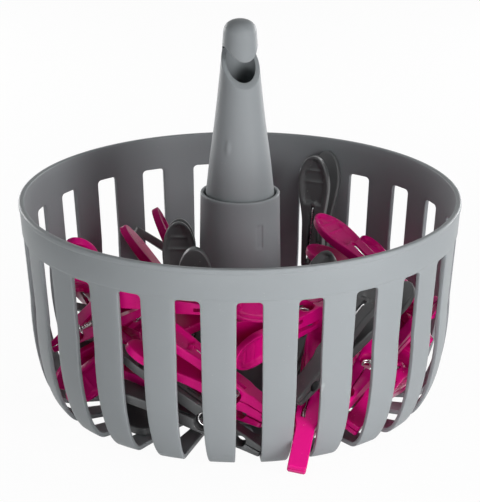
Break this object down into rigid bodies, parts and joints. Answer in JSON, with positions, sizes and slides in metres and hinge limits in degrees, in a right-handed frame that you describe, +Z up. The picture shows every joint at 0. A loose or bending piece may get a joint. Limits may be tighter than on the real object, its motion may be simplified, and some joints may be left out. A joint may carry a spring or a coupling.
{
  "type": "peg basket",
  "caption": "Round slotted peg basket with a tapering hook handle plugged into its centre column, holding sprung clothes pegs.",
  "frame": {"origin": "middle of the tub's flat underside, on the axis of the column", "axes": "+Z up along the column and handle, -Y the way the hook's mouth opens, X across"},
  "size_m": [0.2096, 0.2126, 0.187],
  "materials": {
    "shell": "satin mid grey",
    "peg_pink": "satin hot pink",
    "peg_grey": "satin dark grey",
    "spring_wire": "bright drawn wire"
  },
  "bodies": {
    "basket": {"basket_tub": "shell", "peg_01_lever": "peg_pink", "peg_01_spring": "spring_wire", "peg_02_lever": "peg_grey", "peg_02_spring": "spring_wire", "peg_03_lever": "peg_pink", "peg_03_spring": "spring_wire", "peg_04_lever": "peg_pink", "peg_04_spring": "spring_wire", "peg_05_lever": "peg_pink", "peg_05_spring": "spring_wire", "peg_07_lever": "peg_grey", "peg_07_spring": "spring_wire", "peg_08_lever": "peg_pink", "peg_08_spring": "spring_wire", "peg_09_lever": "peg_grey", "peg_09_spring": "spring_wire", "peg_14_lever": "peg_pink", "peg_14_spring": "spring_wire", "peg_15_lever": "peg_pink", "peg_15_spring": "spring_wire"},
    "handle": {"hook_handle": "shell"},
    "peg_01_clip": {"peg_01_sprung_lever": "peg_pink"},
    "peg_02_clip": {"peg_02_sprung_lever": "peg_grey"},
    "peg_03_clip": {"peg_03_sprung_lever": "peg_pink"},
    "peg_04_clip": {"peg_04_sprung_lever": "peg_pink"},
    "peg_05_clip": {"peg_05_sprung_lever": "peg_pink"},
    "peg_06": {"peg_06_lever": "peg_grey", "peg_06_spring": "spring_wire"},
    "peg_06_clip": {"peg_06_sprung_lever": "peg_grey"},
    "peg_07_clip": {"peg_07_sprung_lever": "peg_grey"},
    "peg_08_clip": {"peg_08_sprung_lever": "peg_pink"},
    "peg_09_clip": {"peg_09_sprung_lever": "peg_grey"},
    "peg_10": {"peg_10_lever": "peg_grey", "peg_10_spring": "spring_wire"},
    "peg_10_clip": {"peg_10_sprung_lever": "peg_grey"},
    "peg_11": {"peg_11_lever": "peg_grey", "peg_11_spring": "spring_wire"},
    "peg_11_clip": {"peg_11_sprung_lever": "peg_grey"},
    "peg_12": {"peg_12_lever": "peg_pink", "peg_12_spring": "spring_wire"},
    "peg_12_clip": {"peg_12_sprung_lever": "peg_pink"},
    "peg_13": {"peg_13_lever": "peg_pink", "peg_13_spring": "spring_wire"},
    "peg_13_clip": {"peg_13_sprung_lever": "peg_pink"},
    "peg_14_clip": {"peg_14_sprung_lever": "peg_pink"},
    "peg_15_clip": {"peg_15_sprung_lever": "peg_pink"},
    "peg_16": {"peg_16_lever": "peg_grey", "peg_16_spring": "spring_wire"},
    "peg_16_clip": {"peg_16_sprung_lever": "peg_grey"},
    "peg_17": {"peg_17_lever": "peg_grey", "peg_17_spring": "spring_wire"},
    "peg_17_clip": {"peg_17_sprung_lever": "peg_grey"},
    "peg_18": {"peg_18_lever": "peg_pink", "peg_18_spring": "spring_wire"},
    "peg_18_clip": {"peg_18_sprung_lever": "peg_pink"},
    "peg_19": {"peg_19_lever": "peg_grey", "peg_19_spring": "spring_wire"},
    "peg_19_clip": {"peg_19_sprung_lever": "peg_grey"}
  },
  "joints": [
    {"name": "handle_pull", "type": "slide", "parent": "basket", "child": "handle", "axis": [0, 0, 1], "range_m": [0, 0.06]},
    {"name": "peg_01_squeeze", "type": "hinge", "parent": "basket", "child": "peg_01_clip", "pos_m": [0.00546, -0.08257, 0.019], "axis": [-0.8991, 0.399, 0.1801], "range_deg": [0, 15], "stiffness_Nm_per_rad": 0.7, "springref_deg": -20.05, "deforming": ["peg_01_spring"]},
    {"name": "peg_02_squeeze", "type": "hinge", "parent": "basket", "child": "peg_02_clip", "pos_m": [-0.06241, 0.00866, 0.01045], "axis": [0.9962, 0.0458, 0.0739], "range_deg": [0, 15], "stiffness_Nm_per_rad": 0.7, "springref_deg": -20.05, "deforming": ["peg_02_spring"]},
    {"name": "peg_03_squeeze", "type": "hinge", "parent": "basket", "child": "peg_03_clip", "pos_m": [-0.03311, -0.05456, 0.02459], "axis": [-0.6016, -0.7649, 0.2303], "range_deg": [0, 15], "stiffness_Nm_per_rad": 0.7, "springref_deg": -20.05, "deforming": ["peg_03_spring"]},
    {"name": "peg_04_squeeze", "type": "hinge", "parent": "basket", "child": "peg_04_clip", "pos_m": [0.04777, -0.05629, 0.01207], "axis": [-0.6761, 0.5469, 0.4938], "range_deg": [0, 15], "stiffness_Nm_per_rad": 0.7, "springref_deg": -20.05, "deforming": ["peg_04_spring"]},
    {"name": "peg_05_squeeze", "type": "hinge", "parent": "basket", "child": "peg_05_clip", "pos_m": [0.03987, 0.05028, 0.011], "axis": [0, 0, 1], "range_deg": [0, 15], "stiffness_Nm_per_rad": 0.7, "springref_deg": -20.05, "deforming": ["peg_05_spring"]},
    {"name": "peg_06_lift", "type": "slide", "parent": "basket", "child": "peg_06", "axis": [0, 0, 1], "range_m": [0, 0.12]},
    {"name": "peg_06_squeeze", "type": "hinge", "parent": "peg_06", "child": "peg_06_clip", "pos_m": [0.05924, 0.05828, 0.04526], "axis": [-0.7547, 0.6561, 0], "range_deg": [0, 15], "stiffness_Nm_per_rad": 0.7, "springref_deg": -20.05, "deforming": ["peg_06_spring"]},
    {"name": "peg_07_squeeze", "type": "hinge", "parent": "basket", "child": "peg_07_clip", "pos_m": [0.06517, 0.01154, 0.02791], "axis": [0.9849, -0.0327, 0.1699], "range_deg": [0, 15], "stiffness_Nm_per_rad": 0.7, "springref_deg": -20.05, "deforming": ["peg_07_spring"]},
    {"name": "peg_08_squeeze", "type": "hinge", "parent": "basket", "child": "peg_08_clip", "pos_m": [0.08035, -0.00564, 0.03589], "axis": [-0.9316, -0.1481, 0.3319], "range_deg": [0, 15], "stiffness_Nm_per_rad": 0.7, "springref_deg": -20.05, "deforming": ["peg_08_spring"]},
    {"name": "peg_09_squeeze", "type": "hinge", "parent": "basket", "child": "peg_09_clip", "pos_m": [-0.0406, 0.06057, 0.01725], "axis": [0.7043, -0.7096, -0.0216], "range_deg": [0, 15], "stiffness_Nm_per_rad": 0.7, "springref_deg": -20.05, "deforming": ["peg_09_spring"]},
    {"name": "peg_10_lift", "type": "slide", "parent": "basket", "child": "peg_10", "axis": [0, 0, 1], "range_m": [0, 0.12]},
    {"name": "peg_10_squeeze", "type": "hinge", "parent": "peg_10", "child": "peg_10_clip", "pos_m": [-0.02698, 0.01193, 0.03278], "axis": [-0.9511, 0.309, 0], "range_deg": [0, 15], "stiffness_Nm_per_rad": 0.7, "springref_deg": -20.05, "deforming": ["peg_10_spring"]},
    {"name": "peg_11_lift", "type": "slide", "parent": "basket", "child": "peg_11", "axis": [0, 0, 1], "range_m": [0, 0.12]},
    {"name": "peg_11_squeeze", "type": "hinge", "parent": "peg_11", "child": "peg_11_clip", "pos_m": [-0.02902, -0.02329, 0.0329], "axis": [0.9449, -0.327, 0.0166], "range_deg": [0, 15], "stiffness_Nm_per_rad": 0.7, "springref_deg": -20.05, "deforming": ["peg_11_spring"]},
    {"name": "peg_12_lift", "type": "slide", "parent": "basket", "child": "peg_12", "axis": [0, 0, 1], "range_m": [0, 0.12]},
    {"name": "peg_12_squeeze", "type": "hinge", "parent": "peg_12", "child": "peg_12_clip", "pos_m": [-0.00984, 0.04776, 0.03037], "axis": [-0.309, -0.9511, 0], "range_deg": [0, 15], "stiffness_Nm_per_rad": 0.7, "springref_deg": -20.05, "deforming": ["peg_12_spring"]},
    {"name": "peg_13_lift", "type": "slide", "parent": "basket", "child": "peg_13", "axis": [0, 0, 1], "range_m": [0, 0.12]},
    {"name": "peg_13_squeeze", "type": "hinge", "parent": "peg_13", "child": "peg_13_clip", "pos_m": [0.07169, -0.01046, 0.05128], "axis": [-0.891, -0.454, 0], "range_deg": [0, 15], "stiffness_Nm_per_rad": 0.7, "springref_deg": -20.05, "deforming": ["peg_13_spring"]},
    {"name": "peg_14_squeeze", "type": "hinge", "parent": "basket", "child": "peg_14_clip", "pos_m": [-0.07638, 0.00145, 0.04289], "axis": [0.8914, 0.4304, 0.1422], "range_deg": [0, 15], "stiffness_Nm_per_rad": 0.7, "springref_deg": -20.05, "deforming": ["peg_14_spring"]},
    {"name": "peg_15_squeeze", "type": "hinge", "parent": "basket", "child": "peg_15_clip", "pos_m": [-0.02877, -0.07903, 0.03562], "axis": [-0.4846, -0.8622, -0.1473], "range_deg": [0, 15], "stiffness_Nm_per_rad": 0.7, "springref_deg": -20.05, "deforming": ["peg_15_spring"]},
    {"name": "peg_16_lift", "type": "slide", "parent": "basket", "child": "peg_16", "axis": [0, 0, 1], "range_m": [0, 0.12]},
    {"name": "peg_16_squeeze", "type": "hinge", "parent": "peg_16", "child": "peg_16_clip", "pos_m": [0.02113, -0.07497, 0.04624], "axis": [-0.4304, 0.8914, 0.1422], "range_deg": [0, 15], "stiffness_Nm_per_rad": 0.7, "springref_deg": -20.05, "deforming": ["peg_16_spring"]},
    {"name": "peg_17_lift", "type": "slide", "parent": "basket", "child": "peg_17", "axis": [0, 0, 1], "range_m": [0, 0.12]},
    {"name": "peg_17_squeeze", "type": "hinge", "parent": "peg_17", "child": "peg_17_clip", "pos_m": [0.01212, 0.07998, 0.0257], "axis": [0.0179, -0.9885, 0.1504], "range_deg": [0, 15], "stiffness_Nm_per_rad": 0.7, "springref_deg": -20.05, "deforming": ["peg_17_spring"]},
    {"name": "peg_18_lift", "type": "slide", "parent": "basket", "child": "peg_18", "axis": [0, 0, 1], "range_m": [0, 0.12]},
    {"name": "peg_18_squeeze", "type": "hinge", "parent": "peg_18", "child": "peg_18_clip", "pos_m": [-0.0584, 0.05417, 0.03958], "axis": [0.8829, -0.4695, 0], "range_deg": [0, 15], "stiffness_Nm_per_rad": 0.7, "springref_deg": -20.05, "deforming": ["peg_18_spring"]},
    {"name": "peg_19_lift", "type": "slide", "parent": "basket", "child": "peg_19", "axis": [0, 0, 1], "range_m": [0, 0.12]},
    {"name": "peg_19_squeeze", "type": "hinge", "parent": "peg_19", "child": "peg_19_clip", "pos_m": [0.0205, -0.02431, 0.02607], "axis": [-0.6428, 0.766, 0], "range_deg": [0, 15], "stiffness_Nm_per_rad": 0.7, "springref_deg": -20.05, "deforming": ["peg_19_spring"]}
  ]
}
